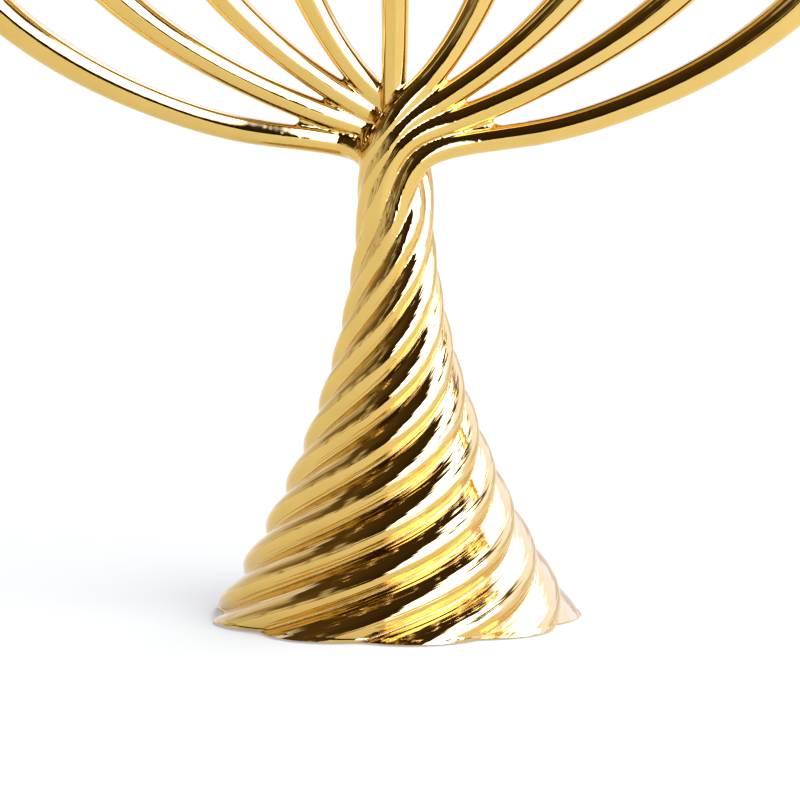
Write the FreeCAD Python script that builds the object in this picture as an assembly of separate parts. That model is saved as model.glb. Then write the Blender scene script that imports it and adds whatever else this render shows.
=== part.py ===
"""Nine-branched Hanukkah lamp with a twisted, fluted foot.

The frame has +Z up and its origin at the centre of the underside.  +X runs
along the row of candle cups, and all sizes are in millimetres.
"""
import FreeCAD, Part
import math
import os

Vec = FreeCAD.Vector
UP = Vec(0, 0, 1)

# ---- Driving dimensions -------------------------------------------------
# Twisted foot: a trumpet-shaped shell with helical flutes.
FLUTES = 9
FOOT_RADIUS = 60.0          # over the flute crests, at the bottom rim
NECK_RADIUS = 11.6          # over the flute crests, where the flare has run out
FLARE_HEIGHT = 145.0        # height at which the flare has run out
TWIST_LEAD = 118.0          # rise of a flute over one full turn
CREST_AZIMUTH = 37.0        # degrees, first crest at floor level
FOOT_GROOVE = 4.8           # groove depth at the rim
NECK_GROOVE = 1.1           # groove depth at the neck
FOOT_WALL = 3.5             # thickness of the cast wall under the grooves
CAVITY_HEIGHT = 98.0        # top of the hollow inside the foot
SEAM_HEIGHT = 124.0         # joint between the foot and the crown

# Branches: nine tapering rods that carry the candle cups.
ROD_DIAMETER = 8.4          # where a branch leaves the crown
STRAND_SINK = 0.15          # a strand's crest lies this far under the flute it grows from
SWELL = 1.5                 # power by which a branch thickens along its length
TIP_DIAMETER = 16.0         # where a branch meets its cup
CUP_PITCH = 38.5            # distance between neighbouring cups
TIP_HEIGHT = 250.0          # height of the eight side branches
CENTRE_LIFT = 22.0          # how much higher the middle branch stands
SPIGOT_DIAMETER = 4.0       # brazed pin and hole between crown and branch
SPIGOT_LENGTH = 7.0

# Candle cups.
CUP_HEIGHT = 18.0
CUP_LIP_RADIUS = 8.9
CUP_LIP_HEIGHT = 2.4
CUP_LIP_CHAMFER = 0.8
CUP_FLARE = 0.2             # how much wider the cup is at its lip than at its foot
CANDLE_BORE = 10.6          # takes a standard 9.5 mm candle
CANDLE_DEPTH = 14.0
CUP_STUD_DIAMETER = 6.0
CUP_STUD_LENGTH = 6.0

# Underside and tie rod.
FELT_THICKNESS = 1.5
RIM_CLEARANCE = 0.5         # the felt stands this far below the cast rim
PLATE_THICKNESS = 1.5
PLATE_RADIUS = 51.0
DISH_RADIUS = 14.0          # raised dish that hides the nut
DISH_HEIGHT = 9.0
DISH_SLOPE = 3.0            # how much wider the dish is at its foot
TIE_ROD_DIAMETER = 6.0
TIE_ROD_ENGAGEMENT = 14.0   # depth of thread in the crown
LOCATING_RADIUS = 6.0       # crown spigot in the neck of the foot
LOCATING_DEPTH = 6.0
WASHER_RADIUS = 9.0
WASHER_THICKNESS = 1.6
NUT_ACROSS_FLATS = 10.0
NUT_HEIGHT = 5.0
FIT = 0.05                  # clearance all round a pin, a plate or a spigot
BOLT_CLEARANCE = 0.4        # radial clearance of the tie rod in its holes

# Crown: a short fluted neck with a conical top, buried under the strands.
CROWN_FLUTED_TOP = 143.0
CROWN_CONE_BOTTOM = 141.0
CROWN_CONE_RADIUS = 10.4
CROWN_CONE_TOP_RADIUS = 4.0
CROWN_CONE_HEIGHT = 18.0
CENTRE_CUT_HEIGHT = 182.0   # end of the middle stub
ROOT_SHARE = 0.35           # part of the way from the seam to its turn that a strand stands free

# Each pair of side branches, from the middle outwards.  The planar part of a
# branch is a cubic curve: it starts at "start", climbs at "angle" degrees with
# a handle of length "reach", and ends upright under its cup with a handle of
# length "rise".  Below that, "turn" is the azimuth and height at which the
# strand leaves the neck and "knee" is where it bends outwards.  The crown's
# stub ends at the share "cut" of the cubic.
BRANCHES = [
    {"turn": (227.0, 151.5), "knee": (1.0, -5.6, 162.5), "start": (8.0, -3.6, 170.0),
     "angle": 46.0, "reach": 18.0, "rise": 38.0, "cut": 0.22},
    {"turn": (240.0, 147.5), "knee": (3.0, -6.0, 158.2), "start": (11.0, -4.2, 164.0),
     "angle": 31.0, "reach": 27.0, "rise": 40.0, "cut": 0.22},
    {"turn": (246.0, 142.0), "knee": (4.2, -6.6, 153.6), "start": (15.0, -4.6, 158.6),
     "angle": 19.0, "reach": 44.0, "rise": 45.0, "cut": 0.2},
    {"turn": (279.0, 135.0), "knee": (8.6, -6.4, 148.0), "start": (20.8, -4.0, 152.5),
     "angle": 4.0, "reach": 60.0, "rise": 54.0, "cut": 0.15},
]
SIDEWAYS_LEAN = 0.11        # how fast a branch comes back to the plane of the cups
# Which flute of the neck each strand grows from, middle pair first.
STRAND_ORDER = {"right": (2, 3, 4, 5), "left": (7, 8, 0, 1), "middle": 6}

# ---- Values worked out from the driving dimensions -----------------------
ROD_RADIUS = ROD_DIAMETER / 2
STRAND_RADIUS = NECK_RADIUS - ROD_RADIUS - STRAND_SINK    # centre line of a strand in the neck
FLUTE_ANGLE = 360.0 / FLUTES
PLATE_Z = FELT_THICKNESS
DISH_TOP = PLATE_Z + DISH_HEIGHT + PLATE_THICKNESS
NUT_TOP = PLATE_Z + DISH_HEIGHT - WASHER_THICKNESS
TIE_ROD_BOTTOM = NUT_TOP - NUT_HEIGHT - 1.0
TIE_ROD_TOP = SEAM_HEIGHT + TIE_ROD_ENGAGEMENT


def polar(radius, azimuth, height):
    """Point at a radius, an azimuth in degrees and a height."""
    angle = math.radians(azimuth)
    return Vec(radius * math.cos(angle), radius * math.sin(angle), height)


def cylinder(radius, bottom, top):
    return Part.makeCylinder(radius, top - bottom, Vec(0, 0, bottom))


def turned(outline):
    """Solid of revolution about Z from a closed outline of (radius, height) points."""
    points = [Vec(radius, 0, height) for radius, height in outline]
    face = Part.Face(Part.makePolygon(points + points[:1]))
    return face.revolve(Vec(0, 0, 0), UP, 360)


# ---- Twisted foot ---------------------------------------------------------
def flare(height):
    """Share of the flare that is left at a height: 1 at the floor, 0 in the neck."""
    return max(0.0, 1.0 - height / FLARE_HEIGHT)


def crest_radius(height):
    return NECK_RADIUS + (FOOT_RADIUS - NECK_RADIUS) * flare(height) ** 2


def groove_depth(height):
    return NECK_GROOVE + (FOOT_GROOVE - NECK_GROOVE) * flare(height)


def crest_azimuth(strand, height):
    """Azimuth in degrees of a flute's crest, which turns steadily as it rises."""
    return CREST_AZIMUTH + strand * FLUTE_ANGLE + 360.0 * height / TWIST_LEAD


def fluted_solid(bottom, top, sections):
    heights = [bottom + (top - bottom) * step / sections for step in range(sections + 1)]
    return Part.makeLoft([fluted_section(height) for height in heights], True, False, False, 3)


def fluted_section(height):
    """Horizontal outline of the foot: one rounded lobe for each flute."""
    points_per_lobe = 9
    edges = []
    for strand in range(FLUTES):
        lobe = []
        for step in range(points_per_lobe):
            share = step / (points_per_lobe - 1)
            radius = crest_radius(height) - groove_depth(height) * (1 - math.sin(math.pi * share))
            azimuth = crest_azimuth(strand, height) + (share - 0.5) * FLUTE_ANGLE
            lobe.append(polar(radius, azimuth, height))
        curve = Part.BSplineCurve()
        curve.interpolate(lobe)
        edges.append(curve.toShape())
    return Part.Wire(edges)


def cavity_radius(height):
    return crest_radius(height) - groove_depth(height) - FOOT_WALL


def make_twisted_foot():
    """Hollow casting with a solid neck, bored for the tie rod and rebated for the plate."""
    foot = fluted_solid(RIM_CLEARANCE, SEAM_HEIGHT, 32)
    shoulder = PLATE_Z + PLATE_THICKNESS
    steps = 12
    side = [shoulder + (CAVITY_HEIGHT - shoulder) * step / steps for step in range(steps + 1)]
    outline = [(0, shoulder)]
    outline += [(min(cavity_radius(height), PLATE_RADIUS - 2.0), height) for height in side]
    outline += [(0, CAVITY_HEIGHT + cavity_radius(CAVITY_HEIGHT) / 2)]
    foot = foot.cut(turned(outline))
    foot = foot.cut(cylinder(PLATE_RADIUS + FIT, 0, shoulder))
    foot = foot.cut(cylinder(TIE_ROD_DIAMETER / 2 + BOLT_CLEARANCE, CAVITY_HEIGHT - 5, SEAM_HEIGHT + 1))
    locating_bottom = SEAM_HEIGHT - LOCATING_DEPTH - FIT
    return foot.cut(cylinder(LOCATING_RADIUS + FIT, locating_bottom, SEAM_HEIGHT + 1))


# ---- Strands and branches ---------------------------------------------------
def cubic_point(ends, share):
    """Point of a cubic curve given by its four control points."""
    rest = 1 - share
    weights = (rest ** 3, 3 * rest ** 2 * share, 3 * rest * share ** 2, share ** 3)
    point = Vec(0, 0, 0)
    for weight, end in zip(weights, ends):
        point += end * weight
    return point


def neck_points(strand):
    """The strand's centre line where it is still a flute of the neck."""
    heights = (SEAM_HEIGHT - 24, SEAM_HEIGHT - 16, SEAM_HEIGHT - 8, SEAM_HEIGHT)
    radii = [crest_radius(height) - ROD_RADIUS - STRAND_SINK for height in heights]
    return [polar(radius, crest_azimuth(strand, z), z) for radius, z in zip(radii, heights)]


def smooth_curve(points):
    curve = Part.BSplineCurve()
    curve.interpolate(points)
    return curve


class Strand:
    """Centre line of one branch and its strand, and the two places where it is divided."""

    def __init__(self, name, neck, upper, cut_point):
        self.name = name
        self.curve = smooth_curve(neck + upper)
        seam = self.curve.parameter(neck[-1])
        turn = self.curve.parameter(upper[0])
        self.root = turn - (turn - seam) * ROOT_SHARE
        self.cut = self.curve.parameter(cut_point)
        self.end = self.curve.LastParameter

    def direction(self, u):
        """Direction of the centre line; the tip is upright, square to its cup."""
        return Vec(UP) if u == self.end else Vec(*self.curve.tangent(u)[0])

    def pin_below(self, u, radius, length):
        """Pin that runs back from a point of the centre line, against its direction."""
        return Part.makeCylinder(radius, length, self.curve.value(u), self.direction(u) * -1)


def side_strand(index, side):
    """One side branch: left ones are the right ones turned half round the axis."""
    shape = BRANCHES[index]
    half_turn = FreeCAD.Rotation(UP, 0 if side == "right" else 180)
    angle = math.radians(shape["angle"])
    start = Vec(*shape["start"])
    tip = Vec((index + 1) * CUP_PITCH, 0, TIP_HEIGHT)
    lean = Vec(math.cos(angle), SIDEWAYS_LEAN, math.sin(angle))
    ends = (start, start + lean * shape["reach"], tip - UP * shape["rise"], tip)
    upper = [polar(STRAND_RADIUS, *shape["turn"]), Vec(*shape["knee"])]
    upper += [cubic_point(ends, share) for share in (0, 0.15, 0.3, 0.45, 0.6, 0.75, 0.9, 1)]
    upper = [half_turn.multVec(point) for point in upper]
    cut_point = half_turn.multVec(cubic_point(ends, shape["cut"]))
    neck = neck_points(STRAND_ORDER[side][index])
    return Strand("%s_%d" % (side, index + 1), neck, upper, cut_point)


def middle_strand():
    """The middle branch, which winds in to the axis and stands upright."""
    flute = STRAND_ORDER["middle"]
    upper = []
    for share, rise in ((0.8, 12), (0.3, 24)):
        height = SEAM_HEIGHT + rise
        upper.append(polar(STRAND_RADIUS * share, crest_azimuth(flute, height), height))
    top = TIP_HEIGHT + CENTRE_LIFT
    bottom = SEAM_HEIGHT + 38
    upper += [Vec(0, 0, bottom + (top - bottom) * share) for share in (0, 0.2, 0.4, 0.7, 1)]
    return Strand("middle", neck_points(flute), upper, Vec(0, 0, CENTRE_CUT_HEIGHT))


def make_stub(strand):
    """Rod of even thickness from the neck's flutes to the end of the crown's stub."""
    ring = Part.Circle(strand.curve.value(strand.root), strand.direction(strand.root), ROD_RADIUS)
    spine = Part.Wire(strand.curve.toShape(strand.root, strand.cut))
    return spine.makePipeShell([Part.Wire(ring.toShape())], True, False)


def make_branch(strand):
    """Horn-shaped rod with a spigot for the crown and a hole for the cup's stud."""
    curve = strand.curve
    whole = curve.length(strand.cut, strand.end)
    side = Vec(0, 1, 0)
    stations = 18
    wires = []
    for station in range(stations + 1):
        u = strand.cut + (strand.end - strand.cut) * station / stations
        share = curve.length(strand.cut, u) / whole if station else 0.0
        ahead = strand.direction(u)
        side = (side - ahead * side.dot(ahead)).normalize()
        radius = ROD_RADIUS + (TIP_DIAMETER / 2 - ROD_RADIUS) * share ** SWELL
        ring = Part.Circle(curve.value(u), ahead, radius)
        ring.XAxis = side
        wires.append(Part.Wire(ring.toShape()))
    branch = Part.makeLoft(wires, True, False, False, 3)
    branch = branch.fuse(strand.pin_below(strand.cut, SPIGOT_DIAMETER / 2, SPIGOT_LENGTH))
    return branch.cut(strand.pin_below(strand.end, CUP_STUD_DIAMETER / 2 + FIT, CUP_STUD_LENGTH + FIT))


# ---- Crown ------------------------------------------------------------------
def make_crown(strands):
    """Casting in which the nine strands leave the neck, with a stub for each branch."""
    crown = fluted_solid(SEAM_HEIGHT, CROWN_FLUTED_TOP, 6)
    cone_base = Vec(0, 0, CROWN_CONE_BOTTOM)
    crown = crown.fuse(Part.makeCone(CROWN_CONE_RADIUS, CROWN_CONE_TOP_RADIUS, CROWN_CONE_HEIGHT, cone_base))
    for strand in strands:
        crown = crown.fuse(make_stub(strand))
    crown = crown.fuse(cylinder(LOCATING_RADIUS, SEAM_HEIGHT - LOCATING_DEPTH, SEAM_HEIGHT + 1))
    for strand in strands:
        crown = crown.cut(strand.pin_below(strand.cut, SPIGOT_DIAMETER / 2 + FIT, SPIGOT_LENGTH + FIT))
    hole_bottom = SEAM_HEIGHT - LOCATING_DEPTH - 1
    return crown.cut(cylinder(TIE_ROD_DIAMETER / 2 + FIT, hole_bottom, TIE_ROD_TOP + 1))


# ---- Candle cups ------------------------------------------------------------
def make_cup(strand):
    """Turned cup with a rolled lip, a blind bore for the candle and a stud below."""
    tip = strand.curve.value(strand.end)
    radius = TIP_DIAMETER / 2
    waist = CUP_HEIGHT - 2 * CUP_LIP_HEIGHT
    outline = [(0, 0), (radius, 0), (radius + CUP_FLARE, waist), (CUP_LIP_RADIUS, CUP_HEIGHT - CUP_LIP_HEIGHT)]
    outline += [(CUP_LIP_RADIUS, CUP_HEIGHT - CUP_LIP_CHAMFER), (CUP_LIP_RADIUS - CUP_LIP_CHAMFER, CUP_HEIGHT)]
    outline += [(0, CUP_HEIGHT)]
    cup = turned(outline)
    cup = cup.cut(cylinder(CANDLE_BORE / 2, CUP_HEIGHT - CANDLE_DEPTH, CUP_HEIGHT + 1))
    cup = cup.fuse(cylinder(CUP_STUD_DIAMETER / 2, -CUP_STUD_LENGTH, 1))
    cup.translate(tip)
    return cup


# ---- Underside ----------------------------------------------------------------
def make_base_plate():
    """Pressed steel disc that closes the foot, with a raised dish for the nut."""
    under = PLATE_Z
    over = PLATE_Z + PLATE_THICKNESS
    outline = [(DISH_RADIUS + DISH_SLOPE, under), (PLATE_RADIUS, under), (PLATE_RADIUS, over)]
    outline += [(DISH_RADIUS + DISH_SLOPE, over), (DISH_RADIUS, DISH_TOP), (0, DISH_TOP)]
    outline += [(0, DISH_TOP - PLATE_THICKNESS), (DISH_RADIUS - PLATE_THICKNESS, DISH_TOP - PLATE_THICKNESS)]
    plate = turned(outline)
    return plate.cut(cylinder(TIE_ROD_DIAMETER / 2 + BOLT_CLEARANCE, 0, DISH_TOP + 1))


def make_felt_pad():
    return cylinder(PLATE_RADIUS - 1.0, 0, FELT_THICKNESS)


def make_tie_rod():
    rod = cylinder(TIE_ROD_DIAMETER / 2, TIE_ROD_BOTTOM, TIE_ROD_TOP)
    ends = [edge for edge in rod.Edges if isinstance(edge.Curve, Part.Circle)]
    return rod.makeChamfer(0.8, ends)


def make_washer():
    washer = cylinder(WASHER_RADIUS, NUT_TOP, NUT_TOP + WASHER_THICKNESS)
    return washer.cut(cylinder(TIE_ROD_DIAMETER / 2 + BOLT_CLEARANCE, 0, DISH_TOP))


def make_nut():
    corner = NUT_ACROSS_FLATS / math.sqrt(3)
    bottom = NUT_TOP - NUT_HEIGHT
    corners = [polar(corner, 60 * side, bottom) for side in range(7)]
    nut = Part.Face(Part.makePolygon(corners)).extrude(UP * NUT_HEIGHT)
    return nut.cut(cylinder(TIE_ROD_DIAMETER / 2 + FIT, 0, DISH_TOP))


# ---- Assembly ---------------------------------------------------------------
def main():
    sides = {side: [side_strand(index, side) for index in range(4)] for side in ("left", "right")}
    middle = middle_strand()
    strands = sides["left"] + sides["right"] + [middle]
    nodes = {"twisted_foot": make_twisted_foot(), "crown": make_crown(strands)}
    for strand in strands:
        nodes["branch_" + strand.name] = make_branch(strand)
        nodes["candle_cup_" + strand.name] = make_cup(strand)
    nodes["base_plate"] = make_base_plate()
    nodes["felt_pad"] = make_felt_pad()
    nodes["tie_rod"] = make_tie_rod()
    nodes["tie_rod_washer"] = make_washer()
    nodes["tie_rod_nut"] = make_nut()
    os.makedirs("parts", exist_ok=True)
    for name, shape in nodes.items():
        shape.exportStep("parts/%s.step" % name)
        print(name, shape.isValid(), len(shape.Solids), round(shape.Volume))


main()
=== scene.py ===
"""Nine-branched Hanukkah lamp in mirror-polished gold plate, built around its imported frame."""
import math

import bpy
import numpy as np
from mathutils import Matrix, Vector


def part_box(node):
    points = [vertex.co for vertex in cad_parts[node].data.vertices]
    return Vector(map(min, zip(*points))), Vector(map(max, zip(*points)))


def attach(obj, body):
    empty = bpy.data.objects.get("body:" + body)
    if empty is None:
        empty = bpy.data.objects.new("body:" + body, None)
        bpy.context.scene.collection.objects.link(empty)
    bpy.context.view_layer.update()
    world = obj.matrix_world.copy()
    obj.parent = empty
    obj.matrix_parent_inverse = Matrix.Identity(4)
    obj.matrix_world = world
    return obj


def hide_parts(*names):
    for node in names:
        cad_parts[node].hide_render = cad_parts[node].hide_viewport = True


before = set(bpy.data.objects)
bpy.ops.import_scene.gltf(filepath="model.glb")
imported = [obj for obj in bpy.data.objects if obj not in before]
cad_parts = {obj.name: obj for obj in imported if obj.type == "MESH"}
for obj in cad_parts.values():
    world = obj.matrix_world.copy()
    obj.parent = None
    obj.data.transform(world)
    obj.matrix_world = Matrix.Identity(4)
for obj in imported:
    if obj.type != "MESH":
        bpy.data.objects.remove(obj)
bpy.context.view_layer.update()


# ---- Camera -----------------------------------------------------------------------
# A long lens, a little above the foot and square to the row of branches.  It takes in
# the foot, the crown and the lower parts of the branches.
CAMERA_TARGET = Vector((0.0016, 0.0, 0.0700))
CAMERA_DISTANCE = 2.0
CAMERA_ELEVATION = math.radians(7.5)
VIEW_WIDTH = 0.256

camera_data = bpy.data.cameras.new("studio_camera")
camera_data.sensor_width = 36.0
camera_data.lens = camera_data.sensor_width * CAMERA_DISTANCE / VIEW_WIDTH
camera = bpy.data.objects.new("studio_camera", camera_data)
bpy.context.scene.collection.objects.link(camera)
towards_camera = Vector((0.0, -math.cos(CAMERA_ELEVATION), math.sin(CAMERA_ELEVATION)))
camera.location = CAMERA_TARGET + towards_camera * CAMERA_DISTANCE
camera.rotation_euler = towards_camera.to_track_quat("Z", "Y").to_euler()
bpy.context.scene.camera = camera


# ---- Studio -----------------------------------------------------------------------
# A matt white floor, a little brighter on the right, in a room with a large soft light in
# front on the right and a small one high behind.  Dim walls and cards fill the rest, for
# the gold to mirror.  The floor also glows by itself, which is painted light: an even glow
# that keeps it white, and a painted brightening towards the right that stands in for the
# pool of the soft light there.  The glow grows from GLOW_LEFT to GLOW_RIGHT, each the
# place in metres and the strength there.
FLOOR_SIZE = 40.0
GLOW_LEFT = (-0.05, 0.31)
GLOW_RIGHT = (0.35, 0.50)


def add_node(tree, kind, links=(), **settings):
    """Adds one shader node; links are (input, socket) pairs, settings are its fields."""
    node = tree.nodes.new(kind)
    for name, value in settings.items():
        if name in node.inputs:
            node.inputs[name].default_value = value
        else:
            setattr(node, name, value)
    for name, socket in links:
        tree.links.new(socket, node.inputs[name])
    return node


def linear(hex_colour):
    """sRGB hex to the linear colour that a shader wants."""
    channels = [int(hex_colour[at:at + 2], 16) / 255 for at in (1, 3, 5)]
    return (*(c / 12.92 if c <= 0.04045 else ((c + 0.055) / 1.055) ** 2.4 for c in channels), 1.0)


def new_material(name):
    """An empty node material and its Principled shader."""
    material = bpy.data.materials.new(name)
    material.use_nodes = True
    return material, material.node_tree, material.node_tree.nodes["Principled BSDF"]


bpy.ops.mesh.primitive_plane_add(size=FLOOR_SIZE)
floor = bpy.context.active_object
floor.name = "studio_floor"
floor_material, tree, shader = new_material("white_studio_floor")
shader.inputs["Base Color"].default_value = linear("#C6C08C")
shader.inputs["Roughness"].default_value = 0.9
shader.inputs["Specular IOR Level"].default_value = 0.0
# Painted light: the floor glows a bluish white by itself, more strongly towards the right, in place of
# the pool of the soft light on that side.
shader.inputs["Emission Color"].default_value = (1.0, 1.03, 1.25, 1)
spot = add_node(tree, "ShaderNodeTexCoord")
across = add_node(tree, "ShaderNodeSeparateXYZ", [("Vector", spot.outputs["Object"])])
glow = add_node(tree, "ShaderNodeMapRange", [("Value", across.outputs["X"])],
                interpolation_type="SMOOTHSTEP",
                **{"From Min": GLOW_LEFT[0], "From Max": GLOW_RIGHT[0],
                   "To Min": GLOW_LEFT[1], "To Max": GLOW_RIGHT[1]})
tree.links.new(glow.outputs["Result"], shader.inputs["Emission Strength"])
floor.data.materials.append(floor_material)

world = bpy.data.worlds.new("studio_room")
bpy.context.scene.world = world
world.use_nodes = True
room = world.node_tree
# Brightness of the room by compass direction in degrees (-90 is the front, 0 the right),
# in rings that follow each other from the floor to the ceiling.  A ring starts at its
# sill, which is the sine of an elevation; BLEND is half the height of the soft change.
KEY = 5.0
RINGS = [
    (0.00, [(-180, 0.80), (-172, 0.90), (-169, 0.25), (-166, 0.85), (-150, 0.90), (-146, 0.35),
            (-142, 0.90), (-131, 0.85), (-127, 0.22), (-122, 0.80), (-117, 0.12), (-112, 0.60),
            (-107, 0.06), (-101, 0.40), (-98, 0.03), (-77, 0.02), (-75, KEY), (-40, KEY),
            (-30, 1.2), (-18, 2.2), (-8, 0.9), (10, 1.3), (30, 0.95), (90, 0.95), (180, 0.80)]),
    (0.20, [(-180, 0.70), (-160, 0.85), (-152, 0.20), (-144, 0.80), (-128, 0.10), (-118, 0.60),
            (-108, 0.05), (-77, 0.02), (-75, KEY), (-30, KEY), (-16, 1.3), (0, 1.6), (20, 1.0),
            (90, 0.9), (180, 0.70)]),
    (0.31, [(-180, 0.26), (-150, 0.20), (-133, 0.10), (-130, 0.6), (-126, 0.6), (-123, 0.07),
            (-78, 0.03), (-75, KEY), (-26, KEY), (0, 1.6), (80, 1.4), (125, 0.9), (150, 0.3),
            (180, 0.26)]),
    (0.66, [(-180, 0.20), (-150, 0.16), (-110, 0.07), (-78, 0.03), (-75, KEY), (-57, KEY), (-54, 0.10),
            (-20, 0.30), (50, 0.10), (57, KEY), (70, KEY), (82, 0.05), (130, 0.10), (180, 0.20)]),
    (0.92, [(-180, 0.12), (-78, 0.04), (-75, KEY), (-64, KEY), (-60, 0.03), (60, 0.03), (180, 0.12)]),
]
BLEND = 0.03
BROWN = (1.0, 0.60, 0.18)
DAYLIGHT = (1.0, 1.12, 2.2)
NO_LONGER_BROWN = 0.6
DAY_BREAKS = 0.85
FULL_DAY = 1.25


def wall_colour(level):
    """Dim parts are brown like wood and card, bright ones bluish like daylight."""
    dusk = min(1.0, level / NO_LONGER_BROWN)
    day = min(1.0, max(0.0, level - DAY_BREAKS) / (FULL_DAY - DAY_BREAKS))
    return [level * (brown + (1 - brown) * dusk) * (1 + (blue - 1) * day)
            for brown, blue in zip(BROWN, DAYLIGHT)]


def wall_ring(stops, angle):
    """One ring of the room; a ramp holds no more than 1, so it is scaled up afterwards."""
    ramp = add_node(room, "ShaderNodeValToRGB", [("Fac", angle)])
    while len(ramp.color_ramp.elements) < len(stops):
        ramp.color_ramp.elements.new(0.5)
    brightest = max(max(wall_colour(level)) for _, level in stops)
    for element, (azimuth, level) in zip(ramp.color_ramp.elements, stops):
        element.position = (azimuth + 180) / 360
        element.color = [part / brightest for part in wall_colour(level)] + [1]
    return add_node(room, "ShaderNodeVectorMath", [(0, ramp.outputs["Color"])],
                    operation="SCALE", Scale=brightest).outputs["Vector"]


aim = add_node(room, "ShaderNodeTexCoord")
parts = add_node(room, "ShaderNodeSeparateXYZ", [("Vector", aim.outputs["Generated"])])
sideways = add_node(room, "ShaderNodeMath", [(0, parts.outputs["X"])], operation="ARCCOSINE")
behind = add_node(room, "ShaderNodeMath", [(0, parts.outputs["Y"])], operation="SIGN")
compass = add_node(room, "ShaderNodeMath", [(0, sideways.outputs[0]), (1, behind.outputs[0])],
                   operation="MULTIPLY")
heading = add_node(room, "ShaderNodeMapRange", [("Value", compass.outputs[0])],
                   **{"From Min": -math.pi, "From Max": math.pi}).outputs["Result"]
light = wall_ring(RINGS[0][1], heading)
for sill, stops in RINGS[1:]:
    climb = add_node(room, "ShaderNodeMapRange", [("Value", parts.outputs["Z"])],
                     interpolation_type="SMOOTHSTEP",
                     **{"From Min": sill - BLEND, "From Max": sill + BLEND})
    mix = add_node(room, "ShaderNodeMix", [("Factor", climb.outputs["Result"])], data_type="RGBA")
    room.links.new(light, mix.inputs[6])
    room.links.new(wall_ring(stops, heading), mix.inputs[7])
    light = mix.outputs[2]
room.links.new(light, room.nodes["Background"].inputs["Color"])
bpy.context.scene.view_settings.view_transform = "Standard"


# ---- Twisted foot ---------------------------------------------------------------
# A hollow brass casting like a trumpet bell, with nine flutes that wind up it as a
# right-handed screw.  Cast in sand, ground in the grooves, buffed, then gold-plated.
# Sizes are in mm from here on, and MM turns them to metres.
MM = 0.001
FLUTES = 9
FOOT_RADIUS = 60.0
NECK_RADIUS = 11.6
FLARE_HEIGHT = 145.0
TWIST_LEAD = 118.0
CREST_AZIMUTH = 37.0
FOOT_GROOVE = 4.8
NECK_GROOVE = 1.1
GROOVE_ROUNDING = 0.09
FOOT_WALL = 3.5
LOCATING_DEPTH = 6.0
SEAM_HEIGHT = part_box("crown")[0].z / MM + LOCATING_DEPTH


def polar(radius, azimuth, height):
    return Vector((radius * math.cos(azimuth), radius * math.sin(azimuth), height))


def crest_radius(height):
    """Radius over the crests in mm: the flare runs out as a parabola."""
    return NECK_RADIUS + (FOOT_RADIUS - NECK_RADIUS) * max(0.0, 1 - height / FLARE_HEIGHT) ** 2


def groove_depth(height):
    return NECK_GROOVE + (FOOT_GROOVE - NECK_GROOVE) * max(0.0, 1 - height / FLARE_HEIGHT)


def crest_azimuth(flute, height):
    return math.radians(CREST_AZIMUTH + flute * 360 / FLUTES + 360 * height / TWIST_LEAD)


def flute_point(turn, height):
    """Point of the outside in metres; turn counts flutes, from the middle of a groove."""
    share = turn % 1.0
    lobe = math.hypot(math.sin(math.pi * share), GROOVE_ROUNDING) - GROOVE_ROUNDING
    lobe /= math.hypot(1, GROOVE_ROUNDING) - GROOVE_ROUNDING
    radius = crest_radius(height) - groove_depth(height) * (1 - lobe)
    return polar(radius, crest_azimuth(turn - 0.5, height), height) * MM


# Corners nearer than WELD metres become one; edges flatter than SOFT_EDGE are shaded smooth.
WELD = 1e-6
SOFT_EDGE = math.radians(50)


def wrapped_grid(name, around, along, place):
    """Grid rolled into a tube: place(u, v) gives each corner, u round it and v along it."""
    bpy.ops.object.select_all(action="DESELECT")
    bpy.ops.mesh.primitive_grid_add(x_subdivisions=around, y_subdivisions=along, size=1)
    piece = bpy.context.active_object
    piece.name = name
    for vertex in piece.data.vertices:
        vertex.co = place(vertex.co.x + 0.5, vertex.co.y + 0.5)
    bpy.ops.object.mode_set(mode="EDIT")
    bpy.ops.mesh.select_all(action="SELECT")
    bpy.ops.mesh.remove_doubles(threshold=WELD)
    bpy.ops.mesh.normals_make_consistent(inside=False)
    bpy.ops.object.mode_set(mode="OBJECT")
    bpy.ops.object.shade_smooth_by_angle(angle=SOFT_EDGE)
    return piece


STEPS_PER_FLUTE = 26
FLUTED_RINGS = 150
RIM_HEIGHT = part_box("twisted_foot")[0].z / MM
LIP_HEIGHT = 1.0
LIP_REACH = 0.5
LIP_ROUNDING = 0.2
LIP_SLOPE = 0.4
FIT = 0.05
PLATE_THICKNESS = 1.5
REBATE_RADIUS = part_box("base_plate")[1].x / MM + FIT
REBATE_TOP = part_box("base_plate")[0].z / MM + PLATE_THICKNESS
LEDGE_WIDTH = 2.0
CAVITY_LIMIT = REBATE_RADIUS - LEDGE_WIDTH
CAVITY_HEIGHT = 98.0
CAVITY_RINGS = 20
BORE_RADIUS = 3.4
LOCATING_RADIUS = 6.0 + FIT


def cavity_ring(height):
    return (min(crest_radius(height) - groove_depth(height) - FOOT_WALL, CAVITY_LIMIT), height)


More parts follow.
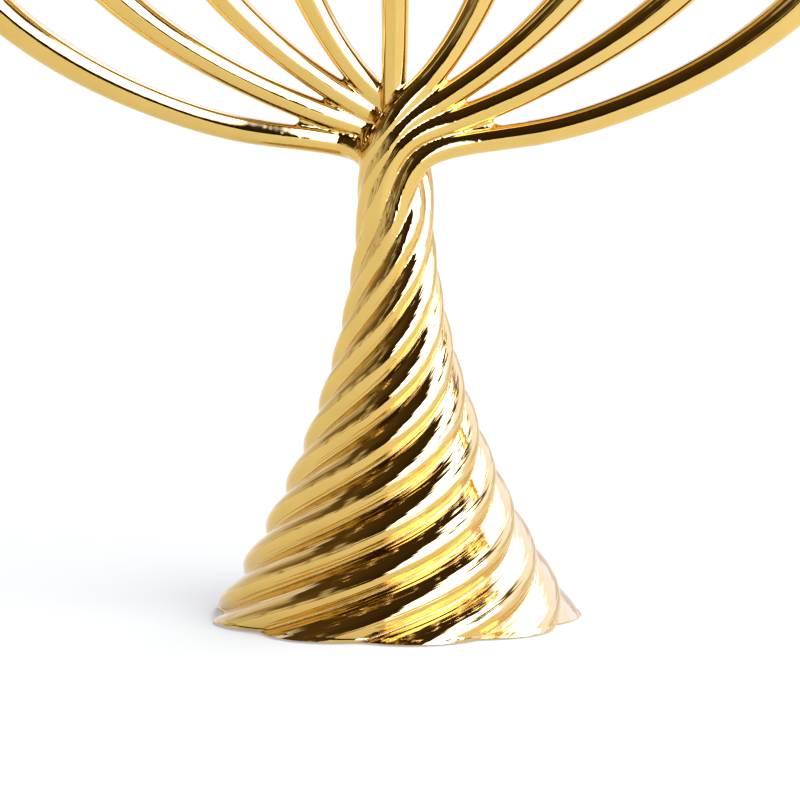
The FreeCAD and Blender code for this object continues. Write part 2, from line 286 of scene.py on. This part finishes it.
# Rings of the casting, up the outside and down the inside: (how far outside the flutes
# or the radius of a round ring, height, fluted or not), all in mm.
lip_top = RIM_HEIGHT + LIP_HEIGHT
rings = [(0.0, RIM_HEIGHT, True), (LIP_REACH, RIM_HEIGHT + LIP_ROUNDING, True)]
rings += [(LIP_REACH, lip_top, True), (0.0, lip_top + LIP_SLOPE, True)]
flare_bottom = lip_top + 2 * LIP_SLOPE
rings += [(0.0, flare_bottom + (SEAM_HEIGHT - flare_bottom) * step / FLUTED_RINGS, True)
          for step in range(FLUTED_RINGS + 1)]
locating_floor = SEAM_HEIGHT - LOCATING_DEPTH
rings += [(LOCATING_RADIUS, SEAM_HEIGHT, False), (LOCATING_RADIUS, locating_floor, False)]
vault_rise = (cavity_ring(CAVITY_HEIGHT)[0] - BORE_RADIUS) / 2
rings += [(BORE_RADIUS, locating_floor, False), (BORE_RADIUS, CAVITY_HEIGHT + vault_rise, False)]
rings += [(*cavity_ring(CAVITY_HEIGHT + (REBATE_TOP - CAVITY_HEIGHT) * step / CAVITY_RINGS), False)
          for step in range(CAVITY_RINGS + 1)]
rings += [(REBATE_RADIUS, REBATE_TOP, False), (REBATE_RADIUS, RIM_HEIGHT, False), rings[0]]


def foot_corner(u, v):
    """Corner of the casting: u round it, v along its rings; corners crowd at the sharp grooves."""
    size, height, fluted = rings[round(v * (len(rings) - 1))]
    flute = round(u * FLUTES * STEPS_PER_FLUTE) / STEPS_PER_FLUTE
    eased = math.floor(flute) + 0.5 - 0.5 * math.cos(math.pi * (flute % 1.0))
    if not fluted:
        return polar(size, crest_azimuth(eased - 0.5, height), height) * MM
    point = flute_point(eased, height)
    return point + Vector((point.x, point.y, 0)).normalized() * size * MM


foot = wrapped_grid("twisted_foot_casting", FLUTES * STEPS_PER_FLUTE, len(rings) - 1, foot_corner)


# Gold plate on buffed brass: a mirror with the shallow waves that a buffing wheel leaves,
# and a haze that comes and goes in patches.  On the foot the wheel ran along the flutes,
# which leaves long streaks, 2.6 mm wide at the rim and 0.5 mm at the neck.
HAZE_PATCH = 14.0
STREAKS_ACROSS = 16
STREAKS_ALONG = 9
FLUTE_STREAK_DEPTH = 0.30


def gold_plate(name, waves, depth):
    """Mirror gold; waves makes the height of its ripples, depth is how deep they go in mm."""
    material, tree, shader = new_material(name)
    place = add_node(tree, "ShaderNodeTexCoord")
    shader.inputs["Metallic"].default_value = 1.0
    patches = add_node(tree, "ShaderNodeTexNoise", [("Vector", place.outputs["Object"])],
                       Scale=1 / (HAZE_PATCH * MM), Detail=2.0, Roughness=0.5)
    haze = add_node(tree, "ShaderNodeMapRange", [("Value", patches.outputs["Fac"])],
                    **{"To Min": 0.03, "To Max": 0.075})
    tree.links.new(haze.outputs["Result"], shader.inputs["Roughness"])
    tone = add_node(tree, "ShaderNodeMix", [("Factor", patches.outputs["Fac"])], data_type="RGBA")
    tone.inputs[6].default_value = linear("#D6B25F")
    tone.inputs[7].default_value = linear("#E1BD70")
    tree.links.new(tone.outputs[2], shader.inputs["Base Color"])
    bump = add_node(tree, "ShaderNodeBump", [("Height", waves(tree, place))],
                    Strength=1.0, Distance=depth * MM)
    tree.links.new(bump.outputs["Normal"], shader.inputs["Normal"])
    return material


def flute_streaks(tree, place):
    """Streaks that run along the flutes, round with them, and grow weaker up to the slim neck."""
    drawn = add_node(tree, "ShaderNodeVectorMath", [(0, place.outputs["UV"])], operation="MULTIPLY")
    drawn.inputs[1].default_value = (FLUTES * STREAKS_ACROSS, STREAKS_ALONG, 1)
    streaks = add_node(tree, "ShaderNodeTexNoise", [("Vector", drawn.outputs["Vector"])],
                       Scale=1.0, Detail=2.0, Roughness=0.45)
    height = add_node(tree, "ShaderNodeSeparateXYZ", [("Vector", place.outputs["Object"])])
    weaker = add_node(tree, "ShaderNodeMapRange", [("Value", height.outputs["Z"])],
                      **{"From Max": FLARE_HEIGHT * MM, "To Min": 1.0, "To Max": 0.3})
    return add_node(tree, "ShaderNodeMath", [(0, streaks.outputs["Fac"]), (1, weaker.outputs["Result"])],
                    operation="MULTIPLY").outputs[0]


foot.data.materials.append(gold_plate("gold_plate_buffed_along_flutes", flute_streaks,
                                      FLUTE_STREAK_DEPTH))
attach(foot, "root")
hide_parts("twisted_foot")


# ---- Crown ------------------------------------------------------------------------
# A second casting, screwed down on the neck: the nine strands leave the neck's flutes,
# cross each other and part, with thin cast webs left in the crotches between them.
ROD_RADIUS = 4.2
NECK_ROD_RADIUS = 3.7
STRAND_SINK = 0.1
STRAND_RADIUS = NECK_RADIUS - NECK_ROD_RADIUS - STRAND_SINK
CUP_PITCH = (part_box("candle_cup_right_2")[0].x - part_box("candle_cup_right_1")[0].x) / MM
TIP_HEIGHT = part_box("branch_right_4")[1].z / MM
MIDDLE_TIP_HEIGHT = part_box("branch_middle")[1].z / MM
MIDDLE_CUT_HEIGHT = 182.0
SIDEWAYS_LEAN = 0.11
# Middle pair first: where a strand turns out of the neck (azimuth, height), its knee,
# the start of its free curve, the angle and handles of that curve, and where the
# crown's stub ends.
STRANDS = [
    {"turn": (227.0, 151.5), "knee": (1.0, -5.6, 162.5), "start": (8.0, -3.6, 170.0),
     "angle": 46.0, "reach": 18.0, "rise": 38.0, "cut": 0.22},
    {"turn": (240.0, 147.5), "knee": (3.0, -6.0, 158.2), "start": (11.0, -4.2, 164.0),
     "angle": 31.0, "reach": 27.0, "rise": 40.0, "cut": 0.22},
    {"turn": (246.0, 142.0), "knee": (4.2, -6.6, 153.6), "start": (15.0, -4.6, 158.6),
     "angle": 19.0, "reach": 44.0, "rise": 45.0, "cut": 0.2},
    {"turn": (279.0, 135.0), "knee": (8.6, -6.4, 148.0), "start": (20.8, -4.0, 152.5),
     "angle": 4.0, "reach": 60.0, "rise": 54.0, "cut": 0.15},
]
# The flute of the neck that each strand grows from, middle pair first.
FLUTE_OF = {"right": (2, 3, 4, 5), "left": (7, 8, 0, 1), "middle": 6}
# Below the seam a strand sinks into the neck: (how far below, how deep it sinks).
SINKING = ((16, 0.9), (8, 0.3), (0, 0.0))
# The middle strand winds in: (share of the strand radius, height above the seam).
MIDDLE_WINDS_IN = ((0.8, 12), (0.3, 24))
MIDDLE_UPRIGHT = 38
LINE_POINTS = 420
ROD_FACETS = 10


def neck_line(flute):
    """Strand centres where it is still a flute of the neck."""
    line = []
    for below, sink in SINKING:
        height = SEAM_HEIGHT - below
        radius = crest_radius(height) - NECK_ROD_RADIUS - sink
        line.append(polar(radius, crest_azimuth(flute, height), height))
    return line


def free_curve(index):
    """Cubic curve of a right-hand branch, from its start to the foot of its cup."""
    shape = STRANDS[index]
    angle = math.radians(shape["angle"])
    start = Vector(shape["start"])
    tip = Vector(((index + 1) * CUP_PITCH, 0, TIP_HEIGHT))
    lean = Vector((math.cos(angle), SIDEWAYS_LEAN, math.sin(angle)))
    handles = (start, start + lean * shape["reach"], tip - Vector((0, 0, shape["rise"])), tip)

    def point(share):
        rest = 1 - share
        weights = (rest ** 3, 3 * rest ** 2 * share, 3 * rest * share ** 2, share ** 3)
        return sum((end * weight for end, weight in zip(handles, weights)), Vector())
    return point


def smooth_line(points, count=LINE_POINTS, ending=(0, 0, 1)):
    """Natural cubic spline through the points, with a given direction at its end."""
    knots = np.array([tuple(point) for point in points])
    length = np.concatenate([[0], np.cumsum(np.linalg.norm(np.diff(knots, axis=0), axis=1))])
    gap = np.diff(length)
    slope = np.diff(knots, axis=0) / gap[:, None]
    size = len(knots)
    matrix = np.zeros((size, size))
    right = np.zeros((size, 3))
    matrix[0, 0] = 1
    for at in range(1, size - 1):
        matrix[at, at - 1:at + 2] = gap[at - 1], 2 * (gap[at - 1] + gap[at]), gap[at]
        right[at] = 6 * (slope[at] - slope[at - 1])
    matrix[-1, -2:] = gap[-1], 2 * gap[-1]
    right[-1] = 6 * (np.array(ending) - slope[-1])
    bend = np.linalg.solve(matrix, right)
    line = []
    for reach in np.linspace(0, length[-1], count):
        at = min(np.searchsorted(length, reach, side="right") - 1, size - 2)
        into, left = reach - length[at], length[at + 1] - reach
        point = (bend[at] * left ** 3 + bend[at + 1] * into ** 3) / (6 * gap[at])
        point += (knots[at] / gap[at] - bend[at] * gap[at] / 6) * left
        point += (knots[at + 1] / gap[at] - bend[at + 1] * gap[at] / 6) * into
        line.append(Vector(point))
    return line


def nearest(line, target):
    return min(range(len(line)), key=lambda at: (line[at] - target).length)


def strand_line(side, index):
    """Whole centre line of a side strand in mm, and the place where the stub ends."""
    shape = STRANDS[index]
    curve = free_curve(index)
    azimuth, height = shape["turn"]
    upper = [polar(STRAND_RADIUS, math.radians(azimuth), height), Vector(shape["knee"])]
    upper += [curve(share) for share in (0, 0.15, 0.3, 0.45, 0.6, 0.75, 0.9, 1)]
    cut = curve(shape["cut"])
    if side == "left":
        upper = [Vector((-point.x, -point.y, point.z)) for point in upper]
        cut = Vector((-cut.x, -cut.y, cut.z))
    line = smooth_line(neck_line(FLUTE_OF[side][index]) + upper)
    return line, nearest(line, cut)


def middle_line():
    """The middle strand winds in to the axis and then stands upright."""
    flute = FLUTE_OF["middle"]
    upper = [polar(STRAND_RADIUS * share, crest_azimuth(flute, SEAM_HEIGHT + rise), SEAM_HEIGHT + rise)
             for share, rise in MIDDLE_WINDS_IN]
    bottom = SEAM_HEIGHT + MIDDLE_UPRIGHT
    upper += [Vector((0, 0, bottom + (MIDDLE_TIP_HEIGHT - bottom) * share))
              for share in (0, 0.2, 0.4, 0.7, 1)]
    line = smooth_line(neck_line(flute) + upper)
    return line, nearest(line, Vector((0, 0, MIDDLE_CUT_HEIGHT)))


def rod(name, line, radii):
    """Round bar along a line in mm, with a radius in mm at each point."""
    bpy.ops.object.select_all(action="DESELECT")
    bpy.ops.curve.primitive_nurbs_path_add()
    piece = bpy.context.active_object
    piece.name = name
    curve = piece.data
    curve.splines.clear()
    spline = curve.splines.new("POLY")
    spline.points.add(len(line) - 1)
    for corner, point, radius in zip(spline.points, line, radii):
        corner.co = (*(point * MM), 1)
        corner.radius = radius
    curve.bevel_depth = MM
    curve.bevel_resolution = ROD_FACETS
    curve.use_fill_caps = True
    curve.twist_mode = "MINIMUM"
    bpy.ops.object.convert(target="MESH")
    bpy.ops.object.mode_set(mode="EDIT")
    bpy.ops.mesh.select_all(action="SELECT")
    bpy.ops.mesh.remove_doubles(threshold=WELD)
    bpy.ops.mesh.normals_make_consistent(inside=False)
    bpy.ops.object.mode_set(mode="OBJECT")
    bpy.ops.object.shade_smooth_by_angle(angle=SOFT_EDGE)
    return piece


# The same gold plate: on the crown's neck the buffing left upright streaks, and nearly
# none where the strands part and the wheel could not follow them.
NECK_STREAK_WIDTH = 1.3
NECK_STREAK_LENGTH = 16.0
NECK_STREAK_DEPTH = 0.14
STREAKS_FADE = (132.0, 150.0)


def neck_streaks(tree, place):
    """Upright streaks on the neck that die out between the two heights of STREAKS_FADE."""
    drawn = add_node(tree, "ShaderNodeVectorMath", [(0, place.outputs["Object"])],
                     operation="DIVIDE")
    drawn.inputs[1].default_value = (NECK_STREAK_WIDTH * MM, NECK_STREAK_WIDTH * MM,
                                     NECK_STREAK_LENGTH * MM)
    streaks = add_node(tree, "ShaderNodeTexNoise", [("Vector", drawn.outputs["Vector"])],
                       Scale=1.0, Detail=1.0, Roughness=0.4)
    height = add_node(tree, "ShaderNodeSeparateXYZ", [("Vector", place.outputs["Object"])])
    fading = add_node(tree, "ShaderNodeMapRange", [("Value", height.outputs["Z"])],
                      **{"From Min": STREAKS_FADE[0] * MM, "From Max": STREAKS_FADE[1] * MM,
                         "To Min": 1.0, "To Max": 0.05})
    return add_node(tree, "ShaderNodeMath", [(0, streaks.outputs["Fac"]), (1, fading.outputs["Result"])],
                    operation="MULTIPLY").outputs[0]


# The centre line of each strand, and the place on it where the crown's stub ends.
lines = {"%s_%d" % (side, index + 1): strand_line(side, index)
         for side in ("left", "right") for index in range(len(STRANDS))}
lines["middle"] = middle_line()

stubs = []
for name, (line, cut) in lines.items():
    radii = [NECK_ROD_RADIUS + (ROD_RADIUS - NECK_ROD_RADIUS) * at / cut for at in range(cut + 1)]
    stubs.append(rod("stub_" + name, line[:cut + 1], radii))


# The webs: thin plates in the crotches, hollowed at their outer edge.  Each lies between
# a lower and an upper strand and ends at a distance from the axis.
WEBS = (("_4", "_3", 44.0), ("_3", "_2", 24.0), ("_2", "_1", 17.0), ("_1", "middle", 9.0))
WEB_ROOT = 5.0
WEB_THICKNESS = 3.0
WEB_HOLLOW = 0.3
WEB_CELLS_ACROSS = 8
WEB_CELLS_ALONG = 24


def web(name, lower, upper, reach):
    """Plate between two strands, from the crown out to its hollow end."""
    start = max(at for at, point in enumerate(lower) if abs(point.x) < WEB_ROOT)
    outer = min(range(start, len(lower)), key=lambda at: abs(abs(lower[at].x) - reach))
    bpy.ops.object.select_all(action="DESELECT")
    bpy.ops.mesh.primitive_grid_add(x_subdivisions=WEB_CELLS_ACROSS, y_subdivisions=WEB_CELLS_ALONG,
                                    size=1)
    piece = bpy.context.active_object
    piece.name = name
    for vertex in piece.data.vertices:
        across, share = vertex.co.x + 0.5, vertex.co.y + 0.5
        hollow = WEB_HOLLOW * share ** 4 * math.sin(math.pi * across)
        below = lower[int(start + (outer - start) * share * (1 - hollow))]
        above = upper[nearest(upper, below)]
        vertex.co = below.lerp(above, across) * MM
    thick = piece.modifiers.new("web_thickness", "SOLIDIFY")
    thick.thickness = WEB_THICKNESS * MM
    thick.offset = 0
    bpy.ops.object.modifier_apply(modifier=thick.name)
    return piece


masses = []
for side in ("left", "right"):
    for low, high, reach in WEBS:
        upper_name = high if high == "middle" else side + high
        masses.append(web("web_%s%s" % (side, low), lines[side + low][0], lines[upper_name][0], reach))

# On the left the two outer strands come round from behind the neck; the founder filled
# their bends up to one rounded mass on its side.  A fill climbs the neck between two
# heights and meets its strand at a distance along it.
FILLED_BENDS = {"_4": (136.0, 146.0, 57.0), "_3": (143.0, 152.0, 56.0)}
FILL_RADIUS = 3.4
FILL_AZIMUTHS = (math.radians(200), math.radians(183))
FILL_POINTS = 60
TO_THE_LEFT = (-1, 0, 0)

inset = NECK_RADIUS - FILL_RADIUS
for low, (*heights, along) in FILLED_BENDS.items():
    line = lines["left" + low][0]
    meeting = round(along / (line[1] - line[0]).length)
    climb_points = [polar(inset, azimuth, height) for azimuth, height in zip(FILL_AZIMUTHS, heights)]
    bend = smooth_line(climb_points + [line[meeting]], FILL_POINTS, TO_THE_LEFT)
    masses.append(rod("filled_bend" + low, bend, [FILL_RADIUS] * len(bend)))

# Casting it in one: the strands, webs and fills flow together with soft fillets.
CASTING_DETAIL = 0.45
bpy.ops.object.select_all(action="DESELECT")
for piece in stubs + masses:
    piece.select_set(True)
bpy.context.view_layer.objects.active = stubs[0]
bpy.ops.object.join()
crown = bpy.context.active_object
crown.name = "crown_casting"
cast = crown.modifiers.new("cast_in_one", "REMESH")
cast.mode = "VOXEL"
cast.voxel_size = CASTING_DETAIL * MM
bpy.ops.object.modifier_apply(modifier=cast.name)
fillets = crown.modifiers.new("fillets", "SMOOTH")
fillets.factor = 0.5
fillets.iterations = 10
bpy.ops.object.modifier_apply(modifier=fillets.name)
bpy.ops.object.shade_smooth()
crown.data.materials.append(gold_plate("gold_plate_on_the_crown", neck_streaks, NECK_STREAK_DEPTH))
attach(crown, "root")
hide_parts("crown")


# ---- Branches -----------------------------------------------------------------------
# Nine solid brass bars, drawn thin at the crown and swelling towards the cups like
# horns, bent cold, brazed on the crown's stubs and plated with them.  The first
# SUNK_POINTS of a bar's line lie inside its stub.
TIP_RADIUS = 8.0
SWELL = 1.5
SUNK_POINTS = 10
WAVE_LENGTH = 5.0
WAVE_DEPTH = 0.05


def object_waves(tree, place):
    """Shallow waves in all directions, as hand buffing leaves on bars and turned pieces."""
    return add_node(tree, "ShaderNodeTexNoise", [("Vector", place.outputs["Object"])],
                    Scale=1 / (WAVE_LENGTH * MM), Detail=1.0, Roughness=0.4).outputs["Fac"]


# The same gold plate again, buffed by hand: a mirror that hardly waves.
GOLD = gold_plate("gold_plate_buffed_by_hand", object_waves, WAVE_DEPTH)

for name, (line, cut) in lines.items():
    horn = line[cut - SUNK_POINTS:]
    free_points = len(horn) - 1 - SUNK_POINTS
    swelling = [(max(0, at - SUNK_POINTS) / free_points) ** SWELL for at in range(len(horn))]
    radii = [ROD_RADIUS + (TIP_RADIUS - ROD_RADIUS) * share for share in swelling]
    branch = rod("branch_bar_" + name, horn, radii)
    branch.data.materials.append(GOLD)
    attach(branch, "root")
    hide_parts("branch_" + name)


# ---- Candle cups --------------------------------------------------------------------
# Nine brass cups turned on a lathe, each with a raised lip, a bore for the candle and a
# stud that is brazed into the branch's end; polished and plated with the rest.
CUP_HEIGHT = 18.0
CUP_FLARE = 0.2
LIP_RADIUS = 8.9
CUP_LIP_HEIGHT = 2.4
CANDLE_RADIUS = 5.3
CANDLE_DEPTH = 14.0
STUD_RADIUS = 3.0
STUD_LENGTH = 6.0
SHOULDER = CUP_HEIGHT - CUP_LIP_HEIGHT
CUP_FACETS = 72
EDGE_ROUNDING = 0.35
TURNED_EDGE = math.radians(35)


def lathe(name, outline):
    """Turned piece: a ring is drawn out step by step along the outline (radius, height) in mm."""
    bpy.ops.object.select_all(action="DESELECT")
    bpy.ops.mesh.primitive_circle_add(vertices=CUP_FACETS, radius=outline[0][0] * MM, fill_type="NGON",
                                      location=(0, 0, outline[0][1] * MM))
    piece = bpy.context.active_object
    piece.name = name
    bpy.ops.object.transform_apply(location=True)
    bpy.ops.object.mode_set(mode="EDIT")
    bpy.ops.mesh.select_all(action="SELECT")
    for (radius, height), (next_radius, next_height) in zip(outline, outline[1:]):
        climb = (0, 0, (next_height - height) * MM)
        bpy.ops.mesh.extrude_region_move(TRANSFORM_OT_translate={"value": climb})
        scale = next_radius / radius
        bpy.ops.transform.resize(value=(scale, scale, 1), center_override=(0, 0, next_height * MM))
    bpy.ops.mesh.select_all(action="SELECT")
    bpy.ops.mesh.normals_make_consistent(inside=False)
    bpy.ops.object.mode_set(mode="OBJECT")
    rounding = piece.modifiers.new("turned_edges", "BEVEL")
    rounding.width = EDGE_ROUNDING * MM
    rounding.segments = 3
    rounding.limit_method = "ANGLE"
    rounding.angle_limit = TURNED_EDGE
    bpy.ops.object.modifier_apply(modifier=rounding.name)
    bpy.ops.object.shade_smooth_by_angle(angle=TURNED_EDGE)
    return piece


cup_outline = [(STUD_RADIUS, -STUD_LENGTH), (STUD_RADIUS, 0), (TIP_RADIUS, 0)]
cup_outline += [(TIP_RADIUS + CUP_FLARE, SHOULDER - CUP_LIP_HEIGHT)]
cup_outline += [(LIP_RADIUS, SHOULDER), (LIP_RADIUS, CUP_HEIGHT)]
cup_outline += [(CANDLE_RADIUS, CUP_HEIGHT), (CANDLE_RADIUS, CUP_HEIGHT - CANDLE_DEPTH)]
for name, (line, _) in lines.items():
    tip = line[-1]
    cup = lathe("candle_cup_turned_" + name, [(radius, height + tip.z) for radius, height in cup_outline])
    for vertex in cup.data.vertices:
        vertex.co.x += tip.x * MM
        vertex.co.y += tip.y * MM
    cup.data.materials.append(GOLD)
    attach(cup, "root")
    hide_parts("candle_cup_" + name)


# ---- Underside ------------------------------------------------------------------------
# A pressed plate of zinc-plated steel closes the foot, and a threaded rod with a washer
# and a nut pulls it and the crown together; a felt disc is glued under the plate.
SPANGLE_WIDTH = 4.0
FIBRE_SPACING = 0.4
FELT_NAP = 0.2


def zinc_steel():
    """Bright zinc on steel: grey and satin, with spangles that differ a little in shine."""
    material, tree, shader = new_material("zinc_plated_steel")
    place = add_node(tree, "ShaderNodeTexCoord")
    shader.inputs["Metallic"].default_value = 1.0
    spangle = add_node(tree, "ShaderNodeTexVoronoi", [("Vector", place.outputs["Object"])],
                       Scale=1 / (SPANGLE_WIDTH * MM))
    satin = add_node(tree, "ShaderNodeMapRange", [("Value", spangle.outputs["Distance"])],
                     **{"To Min": 0.28, "To Max": 0.42})
    tree.links.new(satin.outputs["Result"], shader.inputs["Roughness"])
    tone = add_node(tree, "ShaderNodeMix", [("Factor", spangle.outputs["Distance"])], data_type="RGBA")
    tone.inputs[6].default_value = linear("#B4B8BC")
    tone.inputs[7].default_value = linear("#C9CCCE")
    tree.links.new(tone.outputs[2], shader.inputs["Base Color"])
    return material


def pressed_felt():
    """Dark green wool felt: matt, with the faint light edge of its fibres."""
    material, tree, shader = new_material("pressed_wool_felt")
    place = add_node(tree, "ShaderNodeTexCoord")
    shader.inputs["Roughness"].default_value = 0.95
    shader.inputs["Specular IOR Level"].default_value = 0.2
    shader.inputs["Sheen Weight"].default_value = 0.4
    fibres = add_node(tree, "ShaderNodeTexNoise", [("Vector", place.outputs["Object"])],
                      Scale=1 / (FIBRE_SPACING * MM), Detail=4.0, Roughness=0.7)
    tone = add_node(tree, "ShaderNodeMix", [("Factor", fibres.outputs["Fac"])], data_type="RGBA")
    tone.inputs[6].default_value = linear("#1E2A22")
    tone.inputs[7].default_value = linear("#3A4A3E")
    tree.links.new(tone.outputs[2], shader.inputs["Base Color"])
    bump = add_node(tree, "ShaderNodeBump", [("Height", fibres.outputs["Fac"])],
                    Strength=0.5, Distance=FELT_NAP * MM)
    tree.links.new(bump.outputs["Normal"], shader.inputs["Normal"])
    return material


underside = {"base_plate": zinc_steel(), "felt_pad": pressed_felt()}
for name in ("tie_rod", "tie_rod_washer", "tie_rod_nut"):
    underside[name] = underside["base_plate"]
for name, material in underside.items():
    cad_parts[name].data.materials.clear()
    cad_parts[name].data.materials.append(material)
